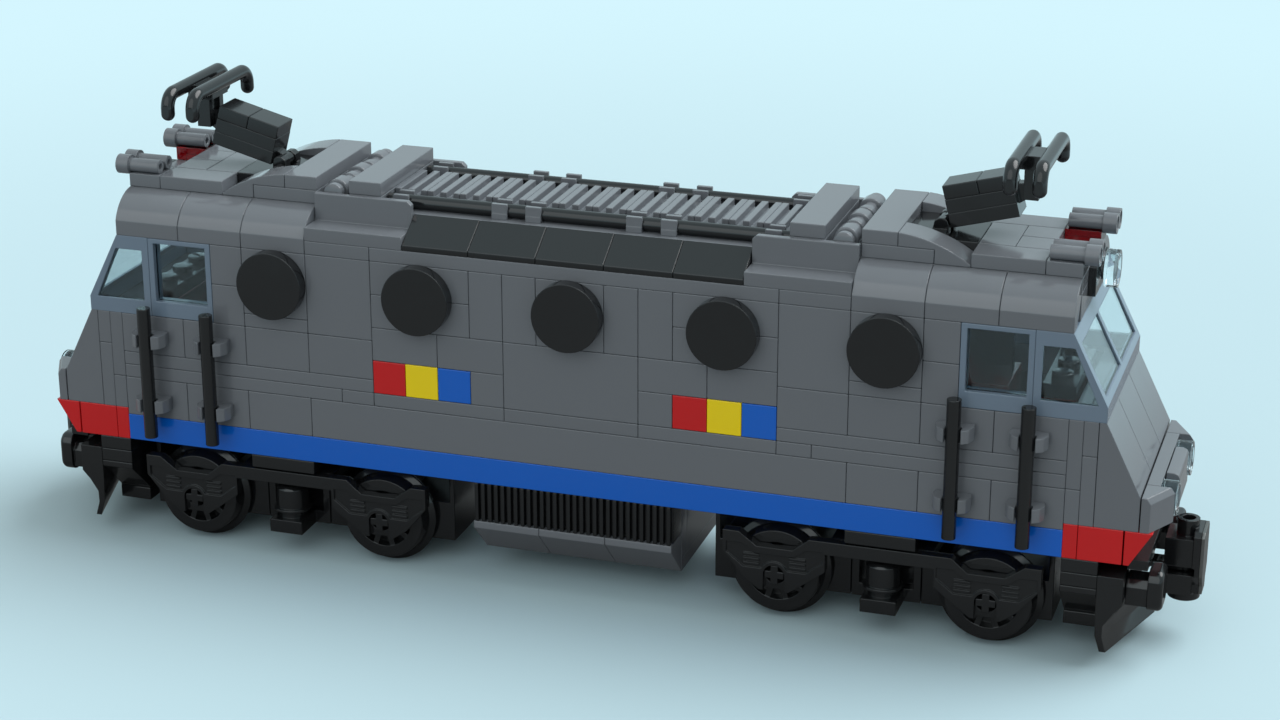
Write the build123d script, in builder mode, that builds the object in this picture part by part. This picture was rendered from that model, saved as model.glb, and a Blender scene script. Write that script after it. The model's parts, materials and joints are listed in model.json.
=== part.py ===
from build123d import *
import math
import os

os.makedirs("parts", exist_ok=True)

# All sizes are millimetres. X runs along the track, Y across it, Z up from the rail.
stud = 8.0
plate = 3.2
brick = 3 * plate
seam = 0.10
gap = seam / 2
bar_radius = 1.6
half_width = 3 * stud
half_length = 14 * stud
wall = 4.0
glass = 1.0

# heights above the rail
deck = 25.2
sole_top = deck + 2 * plate
sill = deck + 10 * plate
cant_rail = deck + 16 * plate
roof_edge = deck + 17 * plate
roof_base = deck + 18 * plate
roof_top = deck + 19 * plate
tile_top = deck + 20 * plate
beam_top = deck + 21 * plate

# running gear
bogie_centre = 9 * stud
half_wheelbase = 3 * stud
axle_height = 11.8
axle_radius = 2.4
axle_bore = 2.48
axle_hole = 2.43
axle_arm = 0.85
tread_radius = 9.9
flange_radius = 11.8
wheel_face = 21.2
wheel_back = 16.2
wheel_web = wheel_back + 2.2
block_half_width = 15.9
frame_inner = 21.5
frame_top = deck - 3.6
pivot_radius = 4.0
pivot_bore = 4.08

# ends
skirt_top = deck + 8.0
nose_back = half_length + 2 * plate
nose_front = half_length + 5 * plate
lamp_front = nose_front + 2 * plate
beam_face = 15 * stud
coupler_pin = 136.2
coupler_pin_radius = 1.6
coupler_bore = 1.66
coupler_face = 140.4

# roof current collectors
arm_pivot_x = 79.0
arm_pivot_z = deck + 65.9
arm_tilt = 14.8
arm_pin_radius = 1.0
arm_bore = 1.06
head_pivot_x = 97.9
head_pivot_z = deck + 74.9


# one square-cut piece between two opposite corners
def block(x0, x1, y0, y1, z0, z1, mode=Mode.ADD):
    with Locations(((x0 + x1) / 2, (y0 + y1) / 2, (z0 + z1) / 2)):
        Box(abs(x1 - x0), abs(y1 - y0), abs(z1 - z0), mode=mode)


# the same, with X counted outwards from the middle towards one end
def end_block(end, x0, x1, y0, y1, z0, z1, mode=Mode.ADD):
    block(end * x0, end * x1, y0, y1, z0, z1, mode)


# side-view outline pushed across the track from y0 to y1
def across(points, y0, y1, mode=Mode.ADD):
    with BuildSketch(Plane.XZ.offset(-max(y0, y1))) as outline:
        with BuildLine():
            Polyline(*points, close=True)
        make_face()
    extrude(to_extrude=outline.sketch, amount=abs(y1 - y0), mode=mode)


# end-view outline pushed along the track from x0 to x1
def along(points, x0, x1, mode=Mode.ADD):
    with BuildSketch(Plane.YZ.offset(min(x0, x1))) as outline:
        with BuildLine():
            Polyline(*points, close=True)
        make_face()
    extrude(to_extrude=outline.sketch, amount=abs(x1 - x0), mode=mode)


# plan outline pushed up from z0 to z1
def upward(points, z0, z1, mode=Mode.ADD):
    with BuildSketch(Plane.XY.offset(z0)) as outline:
        with BuildLine():
            Polyline(*points, close=True)
        make_face()
    extrude(to_extrude=outline.sketch, amount=z1 - z0, mode=mode)


# round bar or bore lying across the track
def cross_cylinder(x, z, radius, y0, y1, mode=Mode.ADD):
    with Locations(Location((x, (y0 + y1) / 2, z), (90, 0, 0))):
        Cylinder(radius, abs(y1 - y0), mode=mode)


# round bar or bore lying along the track
def long_cylinder(y, z, radius, x0, x1, mode=Mode.ADD):
    with Locations(Location(((x0 + x1) / 2, y, z), (0, 90, 0))):
        Cylinder(radius, abs(x1 - x0), mode=mode)


# round bar or bore standing up
def upright_cylinder(x, y, radius, z0, z1, mode=Mode.ADD):
    with Locations((x, y, (z0 + z1) / 2)):
        Cylinder(radius, abs(z1 - z0), mode=mode)


# outline points for either end
def mirrored(points, end):
    return [(end * x, z) for x, z in points]


# blue sole: floor tray the full width, two plates high
with BuildPart() as sole_tray:
    block(-half_length, half_length, -half_width, half_width, deck, sole_top)
    block(-half_length + wall, half_length - wall, -half_width + wall, half_width - wall,
          deck + plate, sole_top, Mode.SUBTRACT)
sole_tray.part.label = "sole_tray"
export_step(sole_tray.part, "parts/sole_tray.step")

# plates across the floor with the pins the bogies swivel on
pivot_plate_bottom = deck - plate
with BuildPart() as bogie_pivots:
    for end in (1, -1):
        end_block(end, bogie_centre - stud, bogie_centre + stud, -half_width, half_width,
                  pivot_plate_bottom, deck - gap)
        upright_cylinder(end * bogie_centre, 0, pivot_radius, deck - 6.5, pivot_plate_bottom)
bogie_pivots.part.label = "bogie_pivots"
export_step(bogie_pivots.part, "parts/bogie_pivots.step")

# side wall pieces. Columns: first stud, last stud, low height, high height (studs from the middle)
middle_wall = [
    (-8, 8, 6.4, 16.0),
    (-2, 2, 16.0, 19.2),
    (-2, 2, 19.2, 35.2),
    (-2, -1, 35.2, 51.2),
    (-1, 1, 35.2, 51.2),
    (1, 2, 35.2, 51.2),
]
outer_wall = [
    (8, 10, 6.4, 16.0),
    (10, 12, 6.4, 16.0),
    (12, 14, 6.4, 16.0),
    (2, 6, 16.0, 19.2),
    (6, 7, 16.0, 19.2),
    (7, 14, 16.0, 19.2),
    (6, 14, 19.2, 22.4),
    (2, 3, 19.2, 27.2),
    (2, 4, 27.2, 35.2),
    (4, 6, 27.2, 35.2),
    (6, 8, 22.4, 32.0),
    (8, 10, 22.4, 32.0),
    (10, 12, 22.4, 32.0),
    (12, 14, 22.4, 32.0),
    (2, 3, 35.2, 51.2),
    (3, 6, 35.2, 43.2),
    (3, 6, 43.2, 51.2),
    (6, 8, 32.0, 51.2),
    (8, 10, 32.0, 35.2),
    (8, 10, 35.2, 51.2),
    (10, 11, 32.0, 41.6),
    (10, 11, 41.6, 51.2),
]
with BuildPart() as wall_bricks:
    for side in (1, -1):
        outside = side * half_width
        inside = side * (half_width - wall)
        for first, last, low, high in middle_wall:
            block(first * stud + gap, last * stud - gap, inside, outside,
                  deck + low + gap, deck + high - gap)
        for first, last, low, high in outer_wall:
            for end in (1, -1):
                end_block(end, first * stud + gap, last * stud - gap, inside, outside,
                          deck + low + gap, deck + high - gap)
wall_bricks.part.label = "wall_bricks"
export_step(wall_bricks.part, "parts/wall_bricks.step")

# coloured square tiles let into both sides. Columns: name, order from the left of either view
tile_bottom = deck + 6 * plate
tile_size = stud
for colour, place in (("red", 0), ("yellow", 1), ("blue", 2)):
    with BuildPart() as side_tiles:
        for side in (1, -1):
            for first in (-6, 3):
                step = place if side < 0 else 2 - place
                left = (first + step) * stud
                block(left + gap, left + tile_size - gap, side * (half_width - wall),
                      side * half_width, tile_bottom + gap, tile_bottom + tile_size - gap)
    side_tiles.part.label = "side_tiles_" + colour
    export_step(side_tiles.part, "parts/side_tiles_" + colour + ".step")

# round black covers over the air intakes
cover_radius = stud
cover_height = deck + 43.5
with BuildPart() as intake_covers:
    for side in (1, -1):
        for place in (-9, -4.5, 0, 4.5, 9):
            cross_cylinder(place * stud, cover_height, cover_radius,
                           side * (half_width + 0.1), side * (half_width + plate))
            cross_cylinder(place * stud, cover_height, stud / 2,
                           side * half_width, side * (half_width + plate))
intake_covers.part.label = "intake_covers"
export_step(intake_covers.part, "parts/intake_covers.step")

# red end skirts: two upright pieces and one with an undercut front
skirt_joints = (half_length + plate, 125.05)
skirt_outline = [
    (skirt_joints[1] + 0.15, deck),
    (126.4, deck),
    (131.2, skirt_top),
    (skirt_joints[1] + 0.15, skirt_top),
]
with BuildPart() as end_skirts:
    for end in (1, -1):
        end_block(end, half_length, skirt_joints[0] - gap, -half_width, half_width, deck,
                  skirt_top)
        end_block(end, skirt_joints[0] + gap, skirt_joints[1] - 0.15, -half_width, half_width,
                  deck, skirt_top)
        across(mirrored(skirt_outline, end), -half_width, half_width)
end_skirts.part.label = "end_skirts"
export_step(end_skirts.part, "parts/end_skirts.step")

# nose: two upright strips and three slopes at each end
nose_outline = [
    (nose_back + gap, skirt_top),
    (nose_front, skirt_top),
    (nose_front, deck + 16.0),
    (15 * stud, sill),
    (nose_back + gap, sill),
]
with BuildPart() as nose_strips:
    for end in (1, -1):
        end_block(end, half_length, half_length + plate - gap, -half_width, half_width,
                  skirt_top, deck + 16.0)
        end_block(end, half_length, half_length + plate - gap, -half_width, half_width,
                  deck + 16.0 + seam, sill)
        end_block(end, half_length + plate, nose_back - gap, -half_width, half_width,
                  skirt_top, deck + 24.0)
        end_block(end, half_length + plate, nose_back - gap, -half_width, half_width,
                  deck + 24.0 + seam, sill)
nose_strips.part.label = "nose_strips"
export_step(nose_strips.part, "parts/nose_strips.step")

with BuildPart() as nose_slopes:
    for end in (1, -1):
        for slot in (-1, 0, 1):
            across(mirrored(nose_outline, end), (slot * 2 - 1) * stud + gap,
                   (slot * 2 + 1) * stud - gap)
nose_slopes.part.label = "nose_slopes"
export_step(nose_slopes.part, "parts/nose_slopes.step")

# lamp box across the nose: back plate, middle block and two wedge ends
lamp_back = nose_front + 0.25
lamp_top = deck + 16.0
lamp_bevel = 1.3
lamp_wedge = [
    (lamp_back, half_width),
    (lamp_back + 2.0, half_width),
    (lamp_front, 2 * stud + gap),
    (lamp_back, 2 * stud + gap),
]
lamp_wedge_crown = [
    (lamp_back, half_width),
    (lamp_back + 1.1, half_width),
    (lamp_front - 0.9, 2 * stud + gap),
    (lamp_back, 2 * stud + gap),
]
lamp_middle = [
    (nose_front + plate + 0.2, skirt_top),
    (lamp_front, skirt_top),
    (lamp_front, lamp_top - lamp_bevel),
    (lamp_front - 0.4, lamp_top - 0.4),
    (lamp_front - lamp_bevel, lamp_top),
    (nose_front + plate + 0.2, lamp_top),
]
with BuildPart() as nose_lamp_boxes:
    for end in (1, -1):
        end_block(end, lamp_back, nose_front + plate, gap - 2 * stud, 2 * stud - gap,
                  skirt_top, lamp_top)
        across(mirrored(lamp_middle, end), -stud, stud)
        for side in (1, -1):
            upward([(end * x, side * y) for x, y in lamp_wedge], skirt_top,
                   lamp_top - lamp_bevel)
            layers = []
            for height, corners in (
                (lamp_top - lamp_bevel, lamp_wedge),
                (lamp_top, lamp_wedge_crown),
            ):
                with BuildSketch(Plane.XY.offset(height)) as layer:
                    with BuildLine():
                        Polyline(*[(end * x, side * y) for x, y in corners], close=True)
                    make_face()
                layers.append(layer.sketch)
            loft(sections=layers, ruled=True)
nose_lamp_boxes.part.label = "nose_lamp_boxes"
export_step(nose_lamp_boxes.part, "parts/nose_lamp_boxes.step")

# clear lenses: two on the nose and one over the windscreen at each end
lamp_z = deck + 58.6
dish_back = half_length + 2.6
dish_front = half_length + 5.4
lens_radius = 3.9
with BuildPart() as lamp_lenses:
    for end in (1, -1):
        long_cylinder(0, lamp_z, 4.2, end * dish_back, end * dish_front)
        long_cylinder(0, lamp_z, 3.3, end * (dish_front - 0.8), end * (dish_front + 1),
                      Mode.SUBTRACT)
        for side in (1, -1):
            long_cylinder(side * 1.5 * stud, deck + 12.0, lens_radius,
                          end * (nose_front + plate + 0.1), end * (lamp_front + 0.4))
            long_cylinder(side * 1.5 * stud, deck + 12.0, lens_radius - 0.9,
                          end * lamp_front, end * (lamp_front + 1), Mode.SUBTRACT)
lamp_lenses.part.label = "lamp_lenses"
export_step(lamp_lenses.part, "parts/lamp_lenses.step")

# windscreen shells: sand blue, hollow, open at the back and below
screen_outline = [
    (13 * stud, sill),
    (15 * stud, sill),
    (15 * stud, sill + 3.5),
    (half_length, cant_rail),
    (13 * stud, cant_rail),
]
side_light = [
    (13 * stud + 1.7, deck + 35.6),
    (118.0, deck + 35.6),
    (112.4, deck + 47.9),
    (13 * stud + 1.7, deck + 47.9),
]
screen_wall = 1.6
with BuildPart() as windscreen_frames:
    for end in (1, -1):
        across(mirrored(screen_outline, end), -half_width, half_width)
        hollow = [
            (13 * stud - 1, sill - 1),
            (15 * stud - screen_wall, sill - 1),
            (15 * stud - screen_wall, sill + 3.2),
            (half_length - screen_wall, cant_rail - screen_wall),
            (13 * stud - 1, cant_rail - screen_wall),
        ]
        across(mirrored(hollow, end), -half_width + screen_wall, half_width - screen_wall,
               Mode.SUBTRACT)
        across(mirrored(side_light, end), -half_width - 1, half_width + 1, Mode.SUBTRACT)
        front_light = [
            (15 * stud - 4.5, deck + 37.0),
            (15 * stud + 3, deck + 37.0),
            (half_length + 3, deck + 48.4),
            (half_length - 4.5, deck + 48.4),
        ]
        for low, high in ((-half_width + 2.4, -0.9), (0.9, half_width - 2.4)):
            across(mirrored(front_light, end), low, high, Mode.SUBTRACT)
windscreen_frames.part.label = "windscreen_frames"
export_step(windscreen_frames.part, "parts/windscreen_frames.step")

# square cab side windows
frame_low = (11 * stud + 1.4, deck + 35.8)
frame_high = (13 * stud - 1.4, deck + 50.0)
with BuildPart() as side_window_frames:
    for end in (1, -1):
        for side in (1, -1):
            end_block(end, 11 * stud + gap, 13 * stud - gap, side * (half_width - wall),
                      side * half_width, sill + gap, cant_rail - gap)
            end_block(end, frame_low[0], frame_high[0], side * (half_width - wall - 1),
                      side * (half_width + 1), frame_low[1], frame_high[1], Mode.SUBTRACT)
side_window_frames.part.label = "side_window_frames"
export_step(side_window_frames.part, "parts/side_window_frames.step")

# clear panes set inside the frames
with BuildPart() as window_panes:
    for end in (1, -1):
        for side in (1, -1):
            end_block(end, frame_low[0], frame_high[0], side * (half_width - 2.2),
                      side * (half_width - 2.2 + glass), frame_low[1], frame_high[1])
        for side in (1, -1):
            across(mirrored(side_light, end), side * (half_width - 0.3 - glass),
                   side * (half_width - 0.3))
        slope_x = (15 * stud - half_length) / (cant_rail - sill - 3.5)
        low_x = 15 * stud - slope_x * (deck + 37.0 - sill - 3.5)
        high_x = 15 * stud - slope_x * (deck + 48.4 - sill - 3.5)
        pane = [
            (low_x - 0.4, deck + 37.0),
            (high_x - 0.4, deck + 48.4),
            (high_x - 0.4 - glass, deck + 48.4),
            (low_x - 0.4 - glass, deck + 37.0),
        ]
        for low, high in ((-half_width + 2.4, -0.9), (0.9, half_width - 2.4)):
            across(mirrored(pane, end), low, high)
window_panes.part.label = "window_panes"
export_step(window_panes.part, "parts/window_panes.step")

# cab inside: floor, back wall, desk and seat
room = half_width - wall - gap
bulkhead = [
    (-room, deck + plate),
    (room, deck + plate),
    (room, cant_rail - seam),
    (2 * stud - 0.4, roof_base - seam),
    (0.4 - 2 * stud, roof_base - seam),
    (-room, cant_rail - seam),
]
with BuildPart() as cab_floors:
    for end in (1, -1):
        end_block(end, 9 * stud, half_length - gap, -room, room, deck + 7 * plate,
                  deck + 8 * plate)
        along(bulkhead, end * (9 * stud - plate), end * (9 * stud - gap))
cab_floors.part.label = "cab_floors"
export_step(cab_floors.part, "parts/cab_floors.step")

desk_outline = [
    (13 * stud, deck + 8 * plate),
    (14 * stud - 0.5, deck + 8 * plate),
    (14 * stud - 0.5, deck + 40.0),
    (13 * stud, deck + 36.8),
]
with BuildPart() as driver_desks:
    for end in (1, -1):
        across(mirrored(desk_outline, end), -1.5 * stud, 1.5 * stud)
driver_desks.part.label = "driver_desks"
export_step(driver_desks.part, "parts/driver_desks.step")

seat_outline = [
    (10 * stud, deck + 8 * plate),
    (12 * stud, deck + 8 * plate),
    (12 * stud, deck + 32.0),
    (11 * stud, deck + 32.0),
    (10.6 * stud, deck + 41.6),
    (10 * stud, deck + 41.6),
]
with BuildPart() as driver_seats:
    for end in (1, -1):
        across(mirrored(seat_outline, end), -stud, stud)
driver_seats.part.label = "driver_seats"
export_step(driver_seats.part, "parts/driver_seats.step")

# roof cove: curved pieces over each cab. Columns: first stud, last stud
cove_spans = [(8, 10), (10, 12), (12, 14)]


# one curved cove, open to the inside
def cove(side, x0, x1):
    foot = (side * half_width, cant_rail)
    hip = (side * half_width, cant_rail + 3.6)
    crown = (side * 2 * stud, roof_top)
    with BuildSketch(Plane.YZ.offset(min(x0, x1))) as outline:
        with BuildLine():
            Line(foot, hip)
            ThreePointArc(hip, (side * 21.4, roof_top - 2.3), crown)
            Polyline(crown, (side * 2 * stud, roof_base), (side * (half_width - wall), cant_rail),
                     foot)
        make_face()
    extrude(to_extrude=outline.sketch, amount=abs(x1 - x0))


with BuildPart() as roof_coves:
    for side in (1, -1):
        for end in (1, -1):
            for first, last in cove_spans:
                cove(side, end * (first * stud + gap), end * (last * stud - gap))
roof_coves.part.label = "roof_coves"
export_step(roof_coves.part, "parts/roof_coves.step")

# cant bands along both sides under the middle of the roof. Columns: first stud, last stud
with BuildPart() as cant_bands:
    for side in (1, -1):
        for first, last in ((-8, -6), (-6, 6), (6, 8)):
            block(first * stud + gap, last * stud - gap, side * 14.0, side * half_width,
                  cant_rail, roof_edge)
cant_bands.part.label = "cant_bands"
export_step(cant_bands.part, "parts/cant_bands.step")

# brackets: a foot on the band and an upright wall beside the roof plates
with BuildPart() as roof_brackets:
    for end in (1, -1):
        for side in (1, -1):
            end_block(end, 5 * stud + gap, 8 * stud - gap, side * 14.0, side * half_width,
                      roof_edge, roof_base)
            bracket_wall = [
                (5 * stud + gap, roof_base),
                (8 * stud - gap, roof_base),
                (8 * stud - gap, tile_top),
                (5 * stud + 1.0, tile_top),
                (5 * stud + gap, tile_top - 0.9),
            ]
            across(mirrored(bracket_wall, end), side * 16.0, side * 17.6)
roof_brackets.part.label = "roof_brackets"
export_step(roof_brackets.part, "parts/roof_brackets.step")

# black slopes between the brackets, two studs long each
slope_section = [
    (half_width, roof_edge),
    (half_width, roof_edge + 1.4),
    (2 * stud, roof_top),
    (2 * stud, roof_base),
    (14.0, roof_base),
    (14.0, roof_edge),
]
with BuildPart() as roof_slopes:
    for side in (1, -1):
        for place in (-2, -1, 0, 1, 2):
            low = (place * 2 - 1) * stud + gap
            along([(side * y, z) for y, z in slope_section], low, low + 2 * stud - seam)
roof_slopes.part.label = "roof_slopes"
export_step(roof_slopes.part, "parts/roof_slopes.step")

# roof deck between the two sides, with an end wall over each windscreen
with BuildPart() as roof_deck:
    block(-half_length, half_length, -2 * stud + gap, 2 * stud - gap, roof_base, roof_top)
    for end in (1, -1):
        end_block(end, half_length - plate, half_length, -2 * stud + gap, 2 * stud - gap,
                  cant_rail + gap, roof_base - gap)
roof_deck.part.label = "roof_deck"
export_step(roof_deck.part, "parts/roof_deck.step")

# flat pieces on the roof. Columns: first stud, last stud, low Y, high Y, low height, high height
roof_flats = [
    (6, 7, -16.0, 16.0, roof_top, tile_top),
    (8, 10, -16.0, 16.0, roof_top, tile_top),
    (6, 7, -16.0, 16.0, tile_top, beam_top),
    (8, 9, -16.0, 16.0, tile_top, beam_top),
    (11, 13, 8.0, 16.0, roof_top, tile_top),
    (11, 13, -16.0, -8.0, roof_top, tile_top),
    (11, 12, -8.0, 8.0, roof_top, tile_top),
    (12, 13, 0.0, 8.0, roof_top, tile_top),
    (12, 13, -8.0, 0.0, roof_top, tile_top),
    (13, 14, -16.0, -8.0, roof_top, tile_top),
]
with BuildPart() as roof_tiles:
    for end in (1, -1):
        for first, last, low_y, high_y, low_z, high_z in roof_flats:
            end_block(end, first * stud + gap, last * stud - gap, low_y + gap, high_y - gap,
                      low_z + gap, high_z)
roof_tiles.part.label = "roof_tiles"
export_step(roof_tiles.part, "parts/roof_tiles.step")

# curved wings either side of each current collector
def wing(end, y0, y1):
    heel = (end * (9 * stud + gap), tile_top + gap)
    crest = (end * (9 * stud + gap), beam_top)
    toe = (end * (11 * stud - gap), roof_top + 0.6)
    with BuildSketch(Plane.XZ.offset(-max(y0, y1))) as outline:
        with BuildLine():
            Line(heel, crest)
            ThreePointArc(crest, (end * 80.6, beam_top - 1.9), toe)
            Polyline(toe, (end * (11 * stud - gap), roof_top + gap),
                     (end * (10 * stud + gap), roof_top + gap),
                     (end * (10 * stud + gap), tile_top + gap), heel)
        make_face()
    extrude(to_extrude=outline.sketch, amount=abs(y1 - y0))


with BuildPart() as roof_wings:
    for end in (1, -1):
        for side in (1, -1):
            wing(end, side * stud, side * 2 * stud)
roof_wings.part.label = "roof_wings"
export_step(roof_wings.part, "parts/roof_wings.step")

# insulator rods lying across the roof between the flat beams. Columns: from Y, to Y, radius
insulator_steps = [
    (10.6, 15.9, 3.9),
    (7.2, 10.6, 2.6),
    (3.2, 7.2, 3.4),
    (-3.2, 3.2, 2.6),
    (-7.2, -3.2, 3.4),
    (-10.6, -7.2, 2.6),
    (-15.9, -10.6, 3.9),
]
with BuildPart() as insulators:
    for end in (1, -1):
        for low_y, high_y, radius in insulator_steps:
            cross_cylinder(end * 7.5 * stud, roof_top + stud / 2, radius, low_y, high_y)
        end_block(end, 7.5 * stud - 1.2, 7.5 * stud + 1.2, -15.9, 15.9, roof_top,
                  roof_top + stud / 2)
insulators.part.label = "insulators"
export_step(insulators.part, "parts/insulators.step")

# cooling grille on the roof: one tile per stud, three slats each
with BuildPart() as roof_grille:
    for place in range(-6, 6):
        left = place * stud
        block(left + gap, left + stud - gap, -stud, stud, roof_top, roof_top + 1.6)
        for slat in (0, 2, 4):
            low = left + slat * 1.6 + (gap if slat == 0 else 0)
            high = left + (slat + 1) * 1.6 - (gap if slat == 4 else 0)
            block(low, high, -stud, stud, roof_top + 1.5, tile_top)
roof_grille.part.label = "roof_grille"
export_step(roof_grille.part, "parts/roof_grille.step")

# black rails each side of the grille
rail_y = 12.0
rail_z = roof_top + bar_radius
with BuildPart() as roof_rails:
    for side in (1, -1):
        long_cylinder(side * rail_y, rail_z, bar_radius, -6 * stud + 0.3, 6 * stud - 0.3)
roof_rails.part.label = "roof_rails"
export_step(roof_rails.part, "parts/roof_rails.step")

# twin-tube horns on the roof corners
horn_z = tile_top + bar_radius
horn_back = 104.6
horn_mouth = 115.2
with BuildPart() as horns:
    for end in (1, -1):
        for side in (1, -1):
            for offset in (9.9, 14.1):
                long_cylinder(side * offset, horn_z, bar_radius, end * horn_back,
                              end * (horn_mouth - 3.0))
                long_cylinder(side * offset, horn_z, 2.3, end * (horn_mouth - 3.1),
                              end * horn_mouth)
            end_block(end, horn_back + 1.5, horn_mouth - 4.1, side * 9.9, side * 14.1,
                      horn_z - 0.6, horn_z + 0.8)
            for offset in (9.9, 14.1):
                long_cylinder(side * offset, horn_z, 0.8, end * (horn_back - 1),
                              end * (horn_back + 1.3), Mode.SUBTRACT)
                long_cylinder(side * offset, horn_z, 1.7, end * (horn_mouth - 1.5),
                              end * (horn_mouth + 1), Mode.SUBTRACT)
horns.part.label = "horns"
export_step(horns.part, "parts/horns.step")

with BuildPart() as marker_plates:
    for end in (1, -1):
        end_block(end, 13 * stud + gap, 14 * stud, stud, 2 * stud - gap, roof_top + gap,
                  tile_top)
marker_plates.part.label = "marker_plates"
export_step(marker_plates.part, "parts/marker_plates.step")

# headlamp bracket over the windscreen
with BuildPart() as headlamp_brackets:
    for end in (1, -1):
        end_block(end, half_length, half_length + 1.7, -stud, stud, deck + 54.4, roof_top)
        long_cylinder(0, lamp_z - 0.2, 2.4, end * (half_length + 1.6), end * (dish_back - gap))
headlamp_brackets.part.label = "headlamp_brackets"
export_step(headlamp_brackets.part, "parts/headlamp_brackets.step")

# upright grab rails and their clips at the cab doors
grab_y = 28.0
with BuildPart() as grab_rails:
    for end in (1, -1):
        for side in (1, -1):
            for place in (11, 13):
                upright_cylinder(end * place * stud, side * grab_y, bar_radius, deck + 3.0,
                                 deck + 35.3)
grab_rails.part.label = "grab_rails"
export_step(grab_rails.part, "parts/grab_rails.step")

# clips that hold the grab rails, then those of the roof rails
clip_radius = 2.9
with BuildPart() as bar_clips:
    for end in (1, -1):
        for side in (1, -1):
            for place in (11, 13):
                x = place * stud
                for low in (9.3, 25.5):
                    end_block(end, x - 4.0, x + 4.0, side * (half_width + gap), side * 25.6,
                              deck + low, deck + low + 3.0)
                    end_block(end, x - 2.4, x + 2.4, side * 25.5, side * grab_y,
                              deck + low, deck + low + 3.0)
                    upright_cylinder(end * x, side * grab_y, clip_radius, deck + low,
                                     deck + low + 3.0)
                upright_cylinder(end * x, side * grab_y, bar_radius + 0.05, deck,
                                 deck + 40, Mode.SUBTRACT)
                end_block(end, x - 1.2, x + 1.2, side * grab_y, side * 32, deck, deck + 40,
                          Mode.SUBTRACT)
    for side in (1, -1):
        for end in (1, -1):
            for place in (11.9, 20.0, 43.9):
                end_block(end, place - 1.8, place + 1.8, side * 9.4, side * 14.4, roof_top,
                          roof_top + 1.4)
                end_block(end, place - 1.8, place + 1.8, side * (rail_y - 2.3),
                          side * (rail_y + 2.3), roof_top + 1.3, roof_top + 3.6)
        long_cylinder(side * rail_y, rail_z, bar_radius + 0.05, -50, 50, Mode.SUBTRACT)
        block(-50, 50, side * (rail_y - 1.3), side * (rail_y + 1.3), rail_z, tile_top + 2,
              Mode.SUBTRACT)
bar_clips.part.label = "bar_clips"
export_step(bar_clips.part, "parts/bar_clips.step")

# equipment case under the middle of the floor
case_half = 3 * stud
rib_pitch = 1.6
rib_width = 0.9
grille_low = deck - brick + 0.1
with BuildPart() as case_grilles:
    for side in (1, -1):
        for place in (-1, 0, 1):
            low = (place * 2 - 1) * stud + gap
            high = low + 2 * stud - seam
            block(low, high, side * 2 * stud, side * 22.6, grille_low, deck)
            for rib in range(10):
                x = low + 0.3 + rib * rib_pitch
                block(x, x + rib_width, side * 22.5, side * half_width, grille_low, deck)
case_grilles.part.label = "case_grilles"
export_step(case_grilles.part, "parts/case_grilles.step")

case_section = [
    (half_width, deck - 9.6),
    (half_width, deck - 11.3),
    (2 * stud, deck - 19.2),
    (2 * stud, deck - 9.6),
]
with BuildPart() as equipment_case:
    block(-case_half, case_half, -2 * stud + gap, 2 * stud - gap, deck - 19.2, deck - 16.0)
    for side in (1, -1):
        block(-case_half, case_half, side * 1.5 * stud, side * (2 * stud - gap),
              deck - 16.0 + gap, deck - gap)
        block(side * 2.5 * stud, side * case_half, -1.5 * stud + gap, 1.5 * stud - gap,
              deck - 16.0 + gap, deck - gap)
    for side in (1, -1):
        for place in (-1, 0, 1):
            low = (place * 2 - 1) * stud + gap
            along([(side * y, z) for y, z in case_section], low, low + 2 * stud - seam)
equipment_case.part.label = "equipment_case"
export_step(equipment_case.part, "parts/equipment_case.step")

# end underframe: two plates, an inverted slope and a lower plate at each end
under_section = [
    (half_width, deck - 6.5),
    (half_width, deck - 7.9),
    (2 * stud, deck - 15.7),
    (2 * stud, deck - 16.0),
    (-2 * stud, deck - 16.0),
    (-2 * stud, deck - 15.7),
    (-half_width, deck - 7.9),
    (-half_width, deck - 6.5),
]
with BuildPart() as end_frames:
    for end in (1, -1):
        end_block(end, half_length, beam_face - gap, -half_width, half_width, deck - 3.2, deck)
        end_block(end, half_length, beam_face - gap, -half_width, half_width, deck - 6.4,
                  deck - 3.3)
        along(under_section, end * half_length, end * (beam_face - gap))
        end_block(end, half_length, beam_face - gap, -2 * stud, 2 * stud, deck - 19.2,
                  deck - 16.1)
end_frames.part.label = "end_frames"
export_step(end_frames.part, "parts/end_frames.step")

# buffer beam with a pointed plough. Columns: X and Z of the section at the side, then in the middle
beam_section = [
    ((120.0, -3.2), (120.0, -3.2)),
    ((125.6, -3.2), (125.6, -3.2)),
    ((125.6, -9.8), (125.6, -9.8)),
    ((123.7, -11.9), (126.6, -11.9)),
    ((121.75, -14.9), (127.2, -15.2)),
    ((121.7, -17.7), (128.0, -17.7)),
    ((122.7, -21.1), (130.2, -21.1)),
    ((121.35, -21.1), (128.8, -21.1)),
    ((120.2, -17.4), (126.4, -17.4)),
    ((120.0, -12.0), (120.0, -12.0)),
]
with BuildPart() as buffer_beams:
    for end in (1, -1):
        for side in (1, -1):
            with BuildSketch(Plane.XZ.offset(-side * half_width)) as flank:
                with BuildLine():
                    Polyline(*[(end * x, deck + z) for (x, z), middle in beam_section],
                             close=True)
                make_face()
            with BuildSketch(Plane.XZ) as centre:
                with BuildLine():
                    Polyline(*[(end * x, deck + z) for side_point, (x, z) in beam_section],
                             close=True)
                make_face()
            loft(sections=[flank.sketch, centre.sketch], ruled=True)
buffer_beams.part.label = "buffer_beams"
export_step(buffer_beams.part, "parts/buffer_beams.step")

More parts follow.
